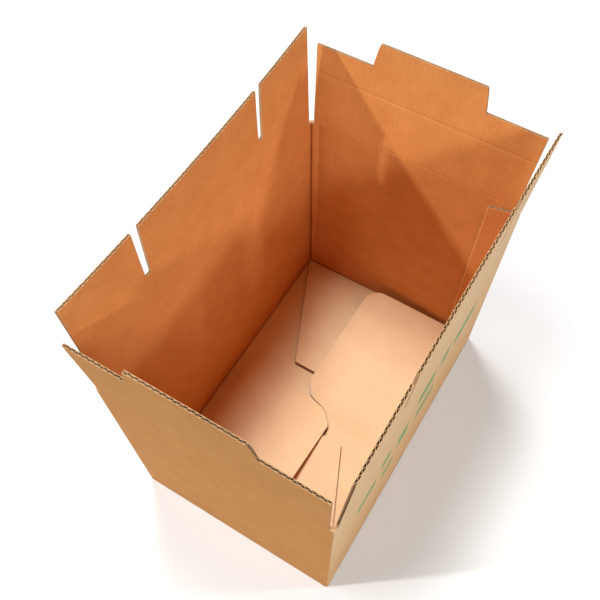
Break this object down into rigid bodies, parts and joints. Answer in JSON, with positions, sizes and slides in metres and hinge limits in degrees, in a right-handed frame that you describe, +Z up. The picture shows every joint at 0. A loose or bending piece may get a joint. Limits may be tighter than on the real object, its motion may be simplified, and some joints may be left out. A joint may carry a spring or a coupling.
{
  "type": "auto-lock bottom box",
  "caption": "Empty rectangular corrugated carton with a self-locking glued base and open top flaps; tabs on the short flaps tuck into slits in the long ones.",
  "frame": {"origin": "on the surface that the carton stands on, under the middle of the base", "axes": "+Z up through the open top; X along the long panels, with the glued side joint on the end panel at +X; the long panel that carries the joint's lap faces -Y"},
  "size_m": [0.3969, 0.2601, 0.3958],
  "materials": {
    "kraft_board": "matt brown kraft liner, faintly ribbed by the flutes"
  },
  "bodies": {
    "carton": {"carton_body": "kraft_board"},
    "front_flap": {"front_top_flap": "kraft_board"},
    "back_flap": {"back_top_flap": "kraft_board"},
    "left_flap": {"left_top_flap": "kraft_board"},
    "right_flap": {"right_top_flap": "kraft_board"}
  },
  "joints": [
    {"name": "front_flap_hinge", "type": "hinge", "parent": "carton", "child": "front_flap", "pos_m": [0, -0.1236, 0.273], "axis": [1, 0, 0], "range_deg": [-93.4, 106.6]},
    {"name": "back_flap_hinge", "type": "hinge", "parent": "carton", "child": "back_flap", "pos_m": [0, 0.1236, 0.273], "axis": [-1, 0, 0], "range_deg": [-91.3, 108.7]},
    {"name": "left_flap_hinge", "type": "hinge", "parent": "carton", "child": "left_flap", "pos_m": [-0.1876, 0, 0.277], "axis": [0, -1, 0], "range_deg": [-93.4, 106.6]},
    {"name": "right_flap_hinge", "type": "hinge", "parent": "carton", "child": "right_flap", "pos_m": [0.1876, 0, 0.277], "axis": [0, 1, 0], "range_deg": [-95.9, 104.1]}
  ]
}
